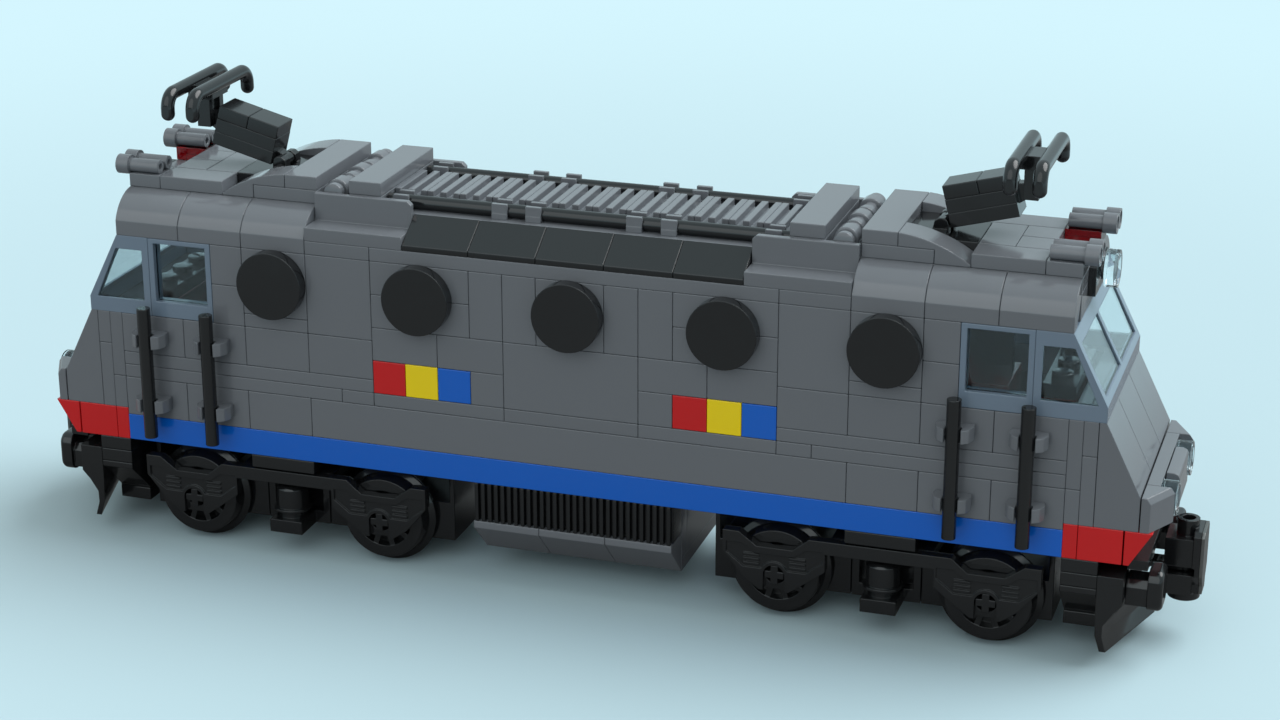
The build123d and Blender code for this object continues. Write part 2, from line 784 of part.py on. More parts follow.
# buffers: a bevelled shaft and a rounded square head
shaft_section = [
    (-3.6, -11.2),
    (3.6, -11.2),
    (3.6, -6.9),
    (2.3, -5.3),
    (-2.3, -5.3),
    (-3.6, -6.9),
]
with BuildPart() as buffers:
    for end in (1, -1):
        for side in (1, -1):
            along([(side * 2 * stud + y, deck + z) for y, z in shaft_section], end * 125.65,
                  end * 130.5)
            with BuildSketch(Plane.YZ.offset(end * 130.4)) as head:
                with Locations((side * 2 * stud, deck - 7.5)):
                    RectangleRounded(9.0, 9.4, 2.6)
            extrude(to_extrude=head.sketch, amount=end * 3.3)
    for place in (-1, 0):
        fillet(buffers.faces().group_by(Axis.X)[place].edges(), radius=1.2)
buffers.part.label = "buffers"
export_step(buffers.part, "parts/buffers.step")

# coupler: fixed tongue and pin, swinging carrier with a round magnet
with BuildPart() as coupler_tongues:
    for end in (1, -1):
        end_block(end, 125.65, coupler_pin, -2.0, 2.0, deck - 9.3, deck - 7.7)
        upright_cylinder(end * coupler_pin, 0, 2.1, deck - 9.3, deck - 7.7)
        upright_cylinder(end * coupler_pin, 0, coupler_pin_radius, deck - 14.0, deck - 1.1)
coupler_tongues.part.label = "coupler_tongues"
export_step(coupler_tongues.part, "parts/coupler_tongues.step")

coupler_shield = [
    (-4.6, -9.4),
    (-4.6, 0.0),
    (-3.6, 1.0),
    (3.6, 1.0),
    (4.6, 0.0),
    (4.6, -9.4),
    (2.6, -12.2),
    (2.6, -14.3),
    (-2.6, -14.3),
    (-2.6, -12.2),
]
shield_outline = [(y, deck + z) for y, z in coupler_shield]
for end, name in ((1, "front"), (-1, "rear")):
    with BuildPart() as coupler_carrier:
        end_block(end, 131.8, 138.1, -4.2, 4.2, deck - 14.3, deck - 0.9)
        along(shield_outline, end * 138.0, end * (coupler_face - 0.8))
        end_block(end, 131.0, 138.6, -6, 6, deck - 9.5, deck - 7.5, Mode.SUBTRACT)
        upright_cylinder(end * coupler_pin, 0, 2.45, deck - 1.0, deck + 2.8)
        upright_cylinder(end * coupler_pin, 0, 3.6, deck - 15.9, deck - 14.3)
        upright_cylinder(end * coupler_pin, 0, coupler_bore, deck - 14.4, deck - 0.9,
                         Mode.SUBTRACT)
        upright_cylinder(end * coupler_pin, 0, 1.5, deck - 1.0, deck + 2.9, Mode.SUBTRACT)
    coupler_carrier.part.label = "coupler_carrier_" + name
    export_step(coupler_carrier.part, "parts/coupler_carrier_" + name + ".step")
    with BuildPart() as coupler_magnet:
        along(shield_outline, end * (coupler_face - 0.8), end * coupler_face)
    coupler_magnet.part.label = "coupler_magnet_" + name
    export_step(coupler_magnet.part, "parts/coupler_magnet_" + name + ".step")

# bogies and wheelsets. Side frame outline as X from the bogie centre and height from the deck
frame_outline = [
    (-36.0, -3.6), (-32.3, -3.6), (-28.1, -6.7), (-19.8, -6.7), (-16.1, -3.6),
    (16.1, -3.6), (19.8, -6.7), (28.1, -6.7), (32.3, -3.6), (36.0, -3.6),
    (36.0, -8.6), (31.0, -14.6), (27.4, -17.2), (20.6, -17.2), (17.0, -14.6),
    (12.3, -11.0), (12.3, -6.7), (-12.3, -6.7), (-12.3, -11.0), (-17.0, -14.6),
    (-20.6, -17.2), (-27.4, -17.2), (-31.0, -14.6), (-36.0, -8.6),
]
# sunk panel round each axle box, as X from the axle and height from the deck
panel_outline = [
    (-11.2, -6.3), (-7.4, -6.3), (-4.6, -8.4), (4.6, -8.4), (7.4, -6.3), (11.2, -6.3),
    (11.2, -8.9), (7.2, -12.0), (-7.2, -12.0), (-11.2, -8.9),
]
panel_face = half_width - 0.5
rib_heights = (-9.2, -10.3, -11.4)
box_slot_face = half_width - 1.4
# centre line and profile of the spring barrel, as radius and height from the deck
barrel_y = 19.5
barrel_profile = [
    (0, -16.2), (3.2, -16.2), (3.2, -14.3), (4.5, -14.3), (4.5, -13.6), (3.8, -13.6),
    (3.8, -8.8), (3.0, -7.9), (0, -7.9),
]
# outer and inner blocks between the wheels, with a slot for the axle and an end wall
outer_block = [
    (8.1, -19.2), (21.1, -19.2), (21.1, -10.4), (26.9, -10.4), (26.9, -19.2), (37.6, -19.2),
    (37.6, -1.0), (36.4, -1.0), (36.4, -9.6), (8.1, -9.6),
]
inner_block = [
    (-8.1, -19.2), (-21.1, -19.2), (-21.1, -10.4), (-26.9, -10.4), (-26.9, -19.2),
    (-40.0, -19.2), (-40.0, -1.0), (-38.8, -1.0), (-38.8, -9.6), (-8.1, -9.6),
]
# upright wedges over the axles, wider at the top
wedge_outline = [(-3.6, -9.5), (3.6, -9.5), (7.7, -0.3), (-7.7, -0.3)]
for end, name in ((1, "front"), (-1, "rear")):
    centre_x = end * bogie_centre
    with BuildPart() as bogie_frames:
        for side in (1, -1):
            across([(centre_x + x, deck + z) for x, z in frame_outline],
                   side * frame_inner, side * half_width)
            for place in (-1, 1):
                axle_x = centre_x + place * half_wheelbase
                across([(axle_x + x, deck + z) for x, z in panel_outline],
                       side * panel_face, side * (half_width + 1), Mode.SUBTRACT)
                cross_cylinder(axle_x, axle_height, 3.3, side * (panel_face - 0.1),
                               side * half_width)
                for height in rib_heights:
                    for rib_end in (1, -1):
                        block(axle_x + rib_end * 3.5, axle_x + rib_end * 7.2,
                              side * (panel_face - 0.1), side * half_width, deck + height,
                              deck + height + 0.6)
                block(axle_x - axle_bore, axle_x + axle_bore, side * box_slot_face,
                      side * (half_width + 1), deck - 18.0, axle_height, Mode.SUBTRACT)
                cross_cylinder(axle_x, axle_height, axle_bore,
                               side * (frame_inner - 1), side * (half_width + 1),
                               Mode.SUBTRACT)
    bogie_frames.part.label = "bogie_frames_" + name
    export_step(bogie_frames.part, "parts/bogie_frames_" + name + ".step")
    with BuildPart() as bogie_bolster:
        block(centre_x - 11.6, centre_x + 11.6, -frame_inner, frame_inner, deck - 6.6,
              frame_top)
        upright_cylinder(centre_x, 0, pivot_bore, deck - 6.6, deck, Mode.SUBTRACT)
        block(centre_x - 7.9, centre_x + 7.9, -13.0, 13.0, deck - 9.7, deck - 6.6)
        block(centre_x - 7.9, centre_x + 7.9, -block_half_width, block_half_width,
              deck - 19.2, deck - 9.6)
        for side in (1, -1):
            block(centre_x - 6.2, centre_x + 6.2, side * 13.0, side * (block_half_width + 1),
                  deck - 16.1, deck - 9.5, Mode.SUBTRACT)
            block(centre_x - 4.1, centre_x + 4.1, side * 13.0, side * half_width,
                  deck - 19.3, deck - 16.1)
            with BuildSketch(Plane.XZ) as barrel_half:
                with BuildLine():
                    Polyline(*barrel_profile, close=True)
                make_face()
            barrel_place = Location((centre_x, side * barrel_y, deck))
            revolve(profiles=barrel_half.sketch.moved(barrel_place),
                    axis=Axis((centre_x, side * barrel_y, deck), (0, 0, 1)))
        for outline in (outer_block, inner_block):
            across([(centre_x + end * x, deck + z) for x, z in outline], -block_half_width,
                   block_half_width)
        for place in (-1, 1):
            across([(centre_x + place * half_wheelbase + x, deck + z)
                    for x, z in wedge_outline], -block_half_width, block_half_width)
    bogie_bolster.part.label = "bogie_bolster_" + name
    export_step(bogie_bolster.part, "parts/bogie_bolster_" + name + ".step")
    for place, axle_name in ((1, "outer"), (-1, "inner")):
        axle_x = centre_x + end * place * half_wheelbase
        with BuildPart() as axle:
            half_axle = half_width - 0.3
            with Locations((axle_x, 0, axle_height)):
                Box(2 * axle_radius - 0.3, 2 * half_axle, 2 * axle_arm)
                Box(2 * axle_arm, 2 * half_axle, 2 * axle_radius - 0.3)
        axle.part.label = "axle_" + name + "_" + axle_name
        export_step(axle.part, "parts/axle_" + name + "_" + axle_name + ".step")
        with BuildPart() as wheels:
            for side in (1, -1):
                with BuildSketch(Plane.XY) as wheel_section:
                    with BuildLine():
                        Polyline(
                            (axle_hole, side * wheel_back),
                            (flange_radius - 1.0, side * wheel_back),
                            (flange_radius, side * (wheel_back + 0.6)),
                            (flange_radius, side * (wheel_back + 1.2)),
                            (tread_radius + 0.6, side * (wheel_back + 2.0)),
                            (tread_radius, side * (wheel_face - 0.3)),
                            (tread_radius - 0.2, side * wheel_face),
                            (7.0, side * wheel_face),
                            (7.0, side * wheel_web),
                            (3.4, side * wheel_web),
                            (3.4, side * (wheel_face - 0.4)),
                            (axle_hole, side * (wheel_face - 0.4)),
                            close=True,
                        )
                    make_face()
                wheel_ring = wheel_section.sketch.moved(Location((axle_x, 0, axle_height)))
                spin_line = Axis((axle_x, 0, axle_height), (0, 1, 0))
                revolve(profiles=wheel_ring, axis=spin_line)
                for spoke in range(10):
                    turn = Location((axle_x, 0, axle_height), (0, 36 * spoke, 0))
                    reach = Location((5.2, side * (wheel_face - 1.5), 0))
                    with Locations(turn * reach):
                        Box(4.4, 2.8, 1.3)
        wheels.part.label = "wheels_" + name + "_" + axle_name
        export_step(wheels.part, "parts/wheels_" + name + "_" + axle_name + ".step")

# current collector bases on the roof: plates, two fork lugs and the hinge pin
fork_outline = [
    (76.8, tile_top + gap),
    (80.6, tile_top + gap),
    (80.6, arm_pivot_z),
    (80.2, arm_pivot_z + 1.1),
    (79.6, arm_pivot_z + 1.6),
    (78.4, arm_pivot_z + 1.6),
    (77.4, arm_pivot_z + 0.9),
]
with BuildPart() as collector_bases:
    for end in (1, -1):
        end_block(end, 10 * stud + gap, 11 * stud - gap, -stud + gap, stud - gap,
                  roof_top + gap, tile_top + gap)
        end_block(end, 9 * stud + gap, 76.8, -stud + gap, stud - gap, tile_top + gap,
                  tile_top + 1.0)
        for side in (1, -1):
            across(mirrored(fork_outline, end), side * 1.7, side * 4.0)
            end_block(end, 76.7, 80.2, side * 1.7, side * (stud - gap), tile_top + gap,
                      tile_top + 1.0)
        cross_cylinder(end * arm_pivot_x, arm_pivot_z, arm_pin_radius, -4.0, 4.0)
collector_bases.part.label = "collector_bases"
export_step(collector_bases.part, "parts/collector_bases.step")


# plan for one cranked contact bar: across the roof with both ends turned down
def contact_bar(x):
    top = deck + 83.1
    foot = deck + 78.7
    reach = 14.4
    with BuildLine(Plane.YZ.offset(x)) as bar_path:
        Polyline((-reach, foot), (-reach, top), (reach, top), (reach, foot))
        fillet(bar_path.vertices().group_by(Axis.Z)[-1], radius=3.2)
    start = Plane((x, -reach, foot), z_dir=(0, 0, 1))
    with BuildSketch(start) as bar:
        Circle(bar_radius)
    sweep(sections=bar.sketch, path=bar_path.line)
    with Locations((x, -reach, foot), (x, reach, foot)):
        Sphere(bar_radius)
    for side in (1, -1):
        block(x - 2, x + 2, side * (reach + 1.35), side * (reach + 3), foot - 2, top - 2.2,
              Mode.SUBTRACT)


# current collector arms of three layers, with a knuckle at both hinges, and their heads
tilt = math.radians(arm_tilt)
arm_start = (81.1, deck + 65.5)
arm_layers = [(0, 0.0, 15.4), (1, 0.0, 15.4), (2, 0.0, 7.7), (2, 7.8, 15.4)]
for end, name in ((1, "front"), (-1, "rear")):
    with BuildPart() as collector_arm:
        for layer, low, high in arm_layers:
            corners = []
            for reach, rise in ((low, 0.0), (high, 0.0), (high, 3.15), (low, 3.15)):
                height = rise + plate * layer
                corners.append((arm_start[0] + math.cos(tilt) * reach - math.sin(tilt) * height,
                                arm_start[1] + math.sin(tilt) * reach + math.cos(tilt) * height))
            across(mirrored(corners, end), -stud / 2, stud / 2)
        for x, z, lug in (
            (arm_pivot_x, arm_pivot_z, [(79.0, -1.5), (81.6, -0.9), (81.6, 3.0), (79.0, 1.5)]),
            (head_pivot_x, head_pivot_z, [(95.0, -3.4), (97.9, -1.5), (97.9, 1.5), (94.6, 1.2)]),
        ):
            across(mirrored([(a, z + b) for a, b in lug], end), -1.5, 1.5)
            cross_cylinder(end * x, z, 1.5, -1.5, 1.5)
            cross_cylinder(end * x, z, arm_bore, -2, 2, Mode.SUBTRACT)
    collector_arm.part.label = "collector_arm_" + name
    export_step(collector_arm.part, "parts/collector_arm_" + name + ".step")
    with BuildPart() as collector_head:
        for side in (1, -1):
            end_block(end, 96.4, 99.7, side * 1.7, side * 3.6, head_pivot_z - 1.7,
                      deck + 80.0)
        end_block(end, 95.3, 101.6, -4.0, 4.0, deck + 80.0, deck + 83.1)
        cross_cylinder(end * head_pivot_x, head_pivot_z, arm_pin_radius, -3.0, 3.0)
        for bar_x in (95.3, 101.6):
            contact_bar(end * bar_x)
    collector_head.part.label = "collector_head_" + name
    export_step(collector_head.part, "parts/collector_head_" + name + ".step")
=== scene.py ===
import json
import math
import bmesh
import bpy
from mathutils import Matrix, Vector


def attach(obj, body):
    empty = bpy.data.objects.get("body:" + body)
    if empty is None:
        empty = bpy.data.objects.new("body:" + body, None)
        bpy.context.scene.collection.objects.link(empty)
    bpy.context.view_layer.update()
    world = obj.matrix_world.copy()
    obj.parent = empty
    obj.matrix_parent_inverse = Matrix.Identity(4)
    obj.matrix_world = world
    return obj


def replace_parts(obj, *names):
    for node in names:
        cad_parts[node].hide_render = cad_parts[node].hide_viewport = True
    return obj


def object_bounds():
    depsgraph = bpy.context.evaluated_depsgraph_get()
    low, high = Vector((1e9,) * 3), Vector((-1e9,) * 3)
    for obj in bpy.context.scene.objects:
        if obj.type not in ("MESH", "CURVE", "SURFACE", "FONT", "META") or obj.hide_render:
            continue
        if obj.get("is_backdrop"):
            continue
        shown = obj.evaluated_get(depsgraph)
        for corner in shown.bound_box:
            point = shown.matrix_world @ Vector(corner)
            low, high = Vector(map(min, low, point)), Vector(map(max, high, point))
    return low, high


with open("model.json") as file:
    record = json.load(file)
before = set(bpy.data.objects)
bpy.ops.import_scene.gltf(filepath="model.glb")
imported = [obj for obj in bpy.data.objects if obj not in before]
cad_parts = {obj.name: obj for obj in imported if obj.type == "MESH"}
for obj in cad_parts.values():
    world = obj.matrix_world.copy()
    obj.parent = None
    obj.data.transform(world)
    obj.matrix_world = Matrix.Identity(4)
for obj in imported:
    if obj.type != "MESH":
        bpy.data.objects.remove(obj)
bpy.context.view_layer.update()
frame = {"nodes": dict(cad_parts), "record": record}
nodes = frame["nodes"]
print("frame loaded:", len(nodes), "nodes")

mm = 0.001  # sizes of pieces are written in millimetres
deck = 25.2  # underside of the blue sole above the rail

# camera, at the place the photograph was taken from
cameraView = {
    "place": (187.74, -553.245, 264.139),
    "azimuth": 17.928,
    "elevation": 20.169,
    "lens": 75.211,
    "sensor": 36.0,
    "sight": (0.01, 100.0),  # nearest and farthest that it sees, in metres
}
cameraData = bpy.data.cameras.new("viewCamera")
cameraData.lens = cameraView["lens"]
cameraData.sensor_width = cameraView["sensor"]
cameraData.clip_start, cameraData.clip_end = cameraView["sight"]
camera = bpy.data.objects.new("viewCamera", cameraData)
camera.location = [value * mm for value in cameraView["place"]]
camera.rotation_euler = (
    math.radians(90 - cameraView["elevation"]), 0, math.radians(cameraView["azimuth"]))
bpy.context.scene.collection.objects.link(camera)
bpy.context.scene.camera = camera
bpy.context.scene.view_settings.view_transform = "Standard"

# moulded finishes: screen colour, the share it wanders, and the slot of the record
finishes = {
    "darkGrey": {"colour": (111, 118, 125), "mottle": 0.030, "slot": "dark_grey_plastic"},
    "black": {"colour": (25, 27, 29), "mottle": 0.08, "slot": "black_plastic"},
    "blue": {"colour": (12, 102, 212), "mottle": 0.035, "slot": "blue_plastic"},
    "red": {"colour": (208, 22, 26), "mottle": 0.035, "slot": "red_plastic"},
    "yellow": {"colour": (255, 228, 12), "mottle": 0.025, "slot": "yellow_plastic"},
    "sandBlue": {"colour": (114, 134, 153), "mottle": 0.025, "slot": "sand_blue_plastic"},
    "darkRed": {"colour": (92, 18, 20), "mottle": 0.05, "slot": "dark_red_plastic"},
}
# the skin that every moulded finish has; scales are in waves per metre
skin = {
    "cloud": {"scale": 38.0, "detail": 4.0},  # broad drift of the colour
    "swirl": {"scale": 420.0, "detail": 3.0, "distortion": 1.4},  # flow in the mould
    "smear": {"scale": 150.0, "detail": 6.0, "distortion": 0.8},  # handling marks
    "grain": {"scale": 1600.0, "detail": 2.0},
    "swirlShare": 0.35,
    "pieceStep": 0.6,  # share of the mottle that steps from piece to piece
    "gloss": (0.07, 0.17),
    "bump": 0.05,
    "wornEdge": 0.28,  # how far in from an edge the rubbing goes, in millimetres
    "index": 1.53,
}
clearLooks = {
    "clear": {"colour": (236, 244, 246), "gloss": (0.01, 0.05), "slot": "clear_plastic"},
    "clearRed": {"colour": (104, 3, 7), "gloss": (0.03, 0.10), "slot": "clear_red_plastic"},
}
clearSkin = {"haze": {"scale": 220.0, "detail": 4.0}, "fade": 0.95, "index": 1.46}
metalLooks = {
    "magnet": {"colour": (118, 118, 116), "gloss": (0.30, 0.50), "slot": "magnet_metal"},
}
brushed = {"scale": 2600.0, "detail": 3.0, "stretch": 0.06, "shades": (1.1, 0.85), "bump": 0.2}
bumpDepth = 0.00003  # metres
noiseSpan = (0.3, 0.7)  # values between which a noise mostly lies


def fromScreen(colour, scale=1.0):
    # screen values 0 to 255 to linear light
    linear = []
    for value in colour:
        share = value / 255
        light = share / 12.92 if share <= 0.04045 else ((share + 0.055) / 1.055) ** 2.4
        linear.append(min(1.0, light * scale))
    return (*linear, 1.0)


def addNode(tree, kind, **values):
    node = tree.nodes.new(kind)
    for name, value in values.items():
        setattr(node, name, value)
    return node


def noiseAt(tree, place, look):
    noise = addNode(tree, "ShaderNodeTexNoise")
    noise.inputs["Scale"].default_value = look["scale"]
    noise.inputs["Detail"].default_value = look["detail"]
    noise.inputs["Distortion"].default_value = look.get("distortion", 0.0)
    tree.links.new(place, noise.inputs["Vector"])
    return noise.outputs["Fac"]


def rangeOf(tree, source, low, high):
    spread = addNode(tree, "ShaderNodeMapRange")
    spread.inputs["From Min"].default_value, spread.inputs["From Max"].default_value = noiseSpan
    spread.inputs["To Min"].default_value = low
    spread.inputs["To Max"].default_value = high
    tree.links.new(source, spread.inputs["Value"])
    return spread.outputs["Result"]


def riseOf(tree, source, span):
    # 0 below the span and 1 above it, with soft ends
    rise = addNode(tree, "ShaderNodeMapRange", interpolation_type="SMOOTHSTEP")
    rise.inputs["From Min"].default_value, rise.inputs["From Max"].default_value = span
    tree.links.new(source, rise.inputs["Value"])
    return rise.outputs["Result"]


def blendOf(tree, first, second, share):
    # mixes two values by a fixed share
    blend = addNode(tree, "ShaderNodeMix", data_type="FLOAT")
    tree.links.new(first, blend.inputs["A"])
    tree.links.new(second, blend.inputs["B"])
    blend.inputs["Factor"].default_value = share
    return blend.outputs["Result"]


def tintOf(tree, first, second, factor):
    # runs from the first linear colour to the second
    tint = addNode(tree, "ShaderNodeMix", data_type="RGBA")
    tint.inputs["A"].default_value = first
    tint.inputs["B"].default_value = second
    tree.links.new(factor, tint.inputs["Factor"])
    return tint.outputs["Result"]


def joined(tree, operation, first, second):
    # one number from two; the second is a socket or a number
    sums = addNode(tree, "ShaderNodeMath", operation=operation)
    tree.links.new(first, sums.inputs[0])
    if isinstance(second, float):
        sums.inputs[1].default_value = second
    else:
        tree.links.new(second, sums.inputs[1])
    return sums.outputs["Value"]


def mixShaders(tree, factor, first, second):
    mixer = addNode(tree, "ShaderNodeMixShader")
    tree.links.new(factor, mixer.inputs["Fac"])
    tree.links.new(first, mixer.inputs[1])
    tree.links.new(second, mixer.inputs[2])
    return mixer.outputs["Shader"]


def bumpOf(tree, height, strength, under=None):
    bump = addNode(tree, "ShaderNodeBump")
    bump.inputs["Strength"].default_value = strength
    bump.inputs["Distance"].default_value = bumpDepth
    tree.links.new(height, bump.inputs["Height"])
    if under is not None:
        tree.links.new(under, bump.inputs["Normal"])
    return bump.outputs["Normal"]


def newMaterial(name):
    # gives the material, its tree, its shader and the socket of places on the object
    material = bpy.data.materials.new(name)
    material.use_nodes = True
    tree = material.node_tree
    place = addNode(tree, "ShaderNodeTexCoord").outputs["Object"]
    return material, tree, tree.nodes["Principled BSDF"], place


def mouldedPlastic(name, look):
    material, tree, shader, place = newMaterial(name)
    # the colour drifts a little over a piece and steps a little from piece to piece
    swirl = noiseAt(tree, place, skin["swirl"])
    drift = blendOf(tree, noiseAt(tree, place, skin["cloud"]), swirl, skin["swirlShare"])
    island = addNode(tree, "ShaderNodeNewGeometry").outputs["Random Per Island"]
    wander = blendOf(tree, drift, island, skin["pieceStep"])
    darker = fromScreen(look["colour"], 1 - look["mottle"])
    lighter = fromScreen(look["colour"], 1 + look["mottle"])
    tree.links.new(tintOf(tree, darker, lighter, wander), shader.inputs["Base Color"])
    # handling marks show as a change of gloss
    gloss = rangeOf(tree, noiseAt(tree, place, skin["smear"]), *skin["gloss"])
    tree.links.new(gloss, shader.inputs["Roughness"])
    # rubbed edges, then slow waves under a fine grain
    worn = addNode(tree, "ShaderNodeBevel", samples=4)
    worn.inputs["Radius"].default_value = skin["wornEdge"] * mm
    waves = bumpOf(tree, swirl, skin["bump"], worn.outputs["Normal"])
    fine = bumpOf(tree, noiseAt(tree, place, skin["grain"]), skin["bump"], waves)
    tree.links.new(fine, shader.inputs["Normal"])
    shader.inputs["IOR"].default_value = skin["index"]
    return material


def clearPlastic(name, look):
    material, tree, shader, place = newMaterial(name)
    haze = noiseAt(tree, place, clearSkin["haze"])
    tree.links.new(rangeOf(tree, haze, *look["gloss"]), shader.inputs["Roughness"])
    tint = tintOf(tree, fromScreen(look["colour"]),
                  fromScreen(look["colour"], clearSkin["fade"]), haze)
    tree.links.new(tint, shader.inputs["Base Color"])
    shader.inputs["Transmission Weight"].default_value = 1.0
    shader.inputs["IOR"].default_value = clearSkin["index"]
    return material


def brushedMetal(name, look):
    material, tree, shader, place = newMaterial(name)
    # brush lines run up and down the face
    stretch = addNode(tree, "ShaderNodeMapping")
    stretch.inputs["Scale"].default_value = (1.0, 1.0, brushed["stretch"])
    tree.links.new(place, stretch.inputs["Vector"])
    lines = noiseAt(tree, stretch.outputs["Vector"], brushed)
    tree.links.new(rangeOf(tree, lines, *look["gloss"]), shader.inputs["Roughness"])
    shades = [fromScreen(look["colour"], shade) for shade in brushed["shades"]]
    tree.links.new(tintOf(tree, *shades, lines), shader.inputs["Base Color"])
    tree.links.new(bumpOf(tree, lines, brushed["bump"]), shader.inputs["Normal"])
    shader.inputs["Metallic"].default_value = 1.0
    return material


plastics = {}
for looks, make, ending in ((finishes, mouldedPlastic, "Plastic"),
                            (clearLooks, clearPlastic, "Plastic"),
                            (metalLooks, brushedMetal, "Metal")):
    for name, look in looks.items():
        plastics[name] = make(name + ending, look)
print("finishes ready:", len(plastics))

bodyOf = {}
for bodyName, members in frame["record"]["behaviour"]["bodies"].items():
    for member in members:
        bodyOf[member] = bodyName

clean = {
    "merge": 0.000002,  # metres between points that are one
    "flat": 0.8,  # degrees between faces that are one
    "sharp": 24,  # degrees from which an edge is rounded
    "crease": 40,  # degrees from which the shading breaks
    "flatWeight": 80,  # how strongly broad faces set the shading
}


def place(name, form, body, finish, crease=clean["crease"]):
    # turns a form into a piece on the body that carries it
    mesh = bpy.data.meshes.new(name)
    form.to_mesh(mesh)
    form.free()
    mesh.shade_smooth()
    mesh.set_sharp_from_angle(angle=math.radians(crease))
    mesh.materials.append(plastics[finish])
    piece = bpy.data.objects.new(name, mesh)
    bpy.context.scene.collection.objects.link(piece)
    even = piece.modifiers.new("evenShade", "WEIGHTED_NORMAL")  # keeps broad faces flat
    even.keep_sharp = True
    even.weight = clean["flatWeight"]
    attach(piece, body)
    return piece


def islandsOf(form):
    # the separate solids of a form, as lists of vertices
    seen = set()
    groups = []
    for start in form.verts:
        if start in seen:
            continue
        seen.add(start)
        group = [start]
        for vertex in group:
            for edge in vertex.link_edges:
                other = edge.other_vert(vertex)
                if other not in seen:
                    seen.add(other)
                    group.append(other)
        groups.append(group)
    return groups


def dropIslands(form, height, below):
    # deletes the solids that start below a height in millimetres, or those that don't
    spare = []
    for group in islandsOf(form):
        startsBelow = min(vertex.co.z for vertex in group) < height * mm
        if startsBelow == below:
            spare += group
    bmesh.ops.delete(form, geom=spare, context="VERTS")


def roundEdges(form, radius):
    # a mould radius on the edges of each solid, as large as that solid has room for
    form.edges.index_update()
    limit = math.radians(clean["sharp"])
    edgeSets = []
    for group in islandsOf(form):
        edges = {edge for vertex in group for edge in vertex.link_edges}
        edgeSets.append([
            edge for edge in edges
            if len(edge.link_faces) == 2 and edge.calc_face_angle(0) > limit])
    for edges in edgeSets:
        edges.sort(key=lambda edge: edge.index)
        bmesh.ops.bevel(
            form, geom=edges, offset=radius * mm, offset_type="OFFSET", segments=2,
            profile=0.5, affect="EDGES", clamp_overlap=True)


def formOf(nodeName):
    # clean copy of a CAD node's mesh
    form = bmesh.new()
    form.from_mesh(nodes[nodeName].data)
    bmesh.ops.remove_doubles(form, verts=form.verts, dist=clean["merge"])
    bmesh.ops.dissolve_limit(
        form, angle_limit=math.radians(clean["flat"]), verts=form.verts, edges=form.edges)
    return form


def moulded(nodeName, finish, radius):
    # the same piece with its mould radius on every edge
    form = formOf(nodeName)
    roundEdges(form, radius)
    piece = place(nodeName + "Moulded", form, bodyOf[nodeName], finish)
    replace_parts(piece, nodeName)


def addBox(form, low, high):
    # square-cut block between two corners in millimetres
    size = [abs(b - a) * mm for a, b in zip(low, high)]
    middle = Vector([(a + b) / 2 * mm for a, b in zip(low, high)])
    made = bmesh.ops.create_cube(form, size=1.0)
    for vertex in made["verts"]:
        vertex.co = Vector([c * s for c, s in zip(vertex.co, size)]) + middle


def addSlab(form, corners, low, high):
    # flat outline of (x, y) corners pushed up from low to high
    lower, upper = [
        [form.verts.new(Vector((x, y, level)) * mm) for x, y in corners]
        for level in (low, high)]
    form.faces.new(lower)
    form.faces.new(upper)
    for step in range(len(corners)):
        after = (step + 1) % len(corners)
        form.faces.new((lower[step], lower[after], upper[after], upper[step]))
    bmesh.ops.recalc_face_normals(form, faces=form.faces)


def addLathe(form, profile, centre, axis, turns=32):
    # closed profile of (radius, distance along the axis) turned about an axis through centre
    spin = Vector((0, 0, 1)).rotation_difference(Vector(axis)).to_matrix()
    rings = []
    for turn in range(turns):
        angle = 2 * math.pi * turn / turns
        ring = []
        for radius, along in profile:
            point = Vector((radius * math.cos(angle), radius * math.sin(angle), along))
            ring.append(form.verts.new((spin @ point + Vector(centre)) * mm))
        rings.append(ring)
    for turn in range(turns):
        ring, after = rings[turn], rings[(turn + 1) % turns]
        for step in range(len(profile)):
            nextStep = (step + 1) % len(profile)
            form.faces.new((ring[step], after[step], after[nextStep], ring[nextStep]))
    bmesh.ops.remove_doubles(form, verts=form.verts, dist=clean["merge"])
    bmesh.ops.recalc_face_normals(form, faces=form.faces)


ends = {"front": 1, "rear": -1}

# body shell: the walls, sole, skirts, nose and side tiles
shell = {
    "radius": 0.14,
    "darkGrey": ["wall_bricks", "nose_strips", "nose_slopes", "nose_lamp_boxes"],
    "blue": ["sole_tray", "side_tiles_blue"],
    "red": ["end_skirts", "side_tiles_red"],
    "yellow": ["side_tiles_yellow"],
    "sandBlue": ["windscreen_frames", "side_window_frames"],
    "black": ["intake_covers", "grab_rails"],
}
# roof: coves, bands, plates, wings, grille, rails and horns
roof = {
    "radius": 0.16,
    "darkGrey": ["roof_coves", "cant_bands", "roof_brackets", "roof_deck", "roof_tiles",
                 "roof_wings", "roof_grille", "horns"],
    "black": ["roof_slopes", "roof_rails", "headlamp_brackets", "collector_bases"],
}
# underframe and ends
underframe = {
    "radius": 0.16,
    "darkGrey": ["equipment_case"],
    "black": ["case_grilles", "end_frames", "buffer_beams", "buffers", "coupler_tongues",
              "bogie_pivots"],
}
# inside of both cabs
cabInside = {
    "radius": 0.14,
    "black": ["cab_floors"],
    "darkRed": ["driver_seats"],
}
# clear pieces
glazing = {
    "radius": 0.10,
    "clear": ["window_panes", "lamp_lenses"],
    "clearRed": ["marker_plates"],
}
for group in (shell, roof, underframe, cabInside, glazing):
    for finish, names in group.items():
        if finish != "radius":
            for nodeName in names:
                moulded(nodeName, finish, group["radius"])
print("body, roof and underframe moulded")

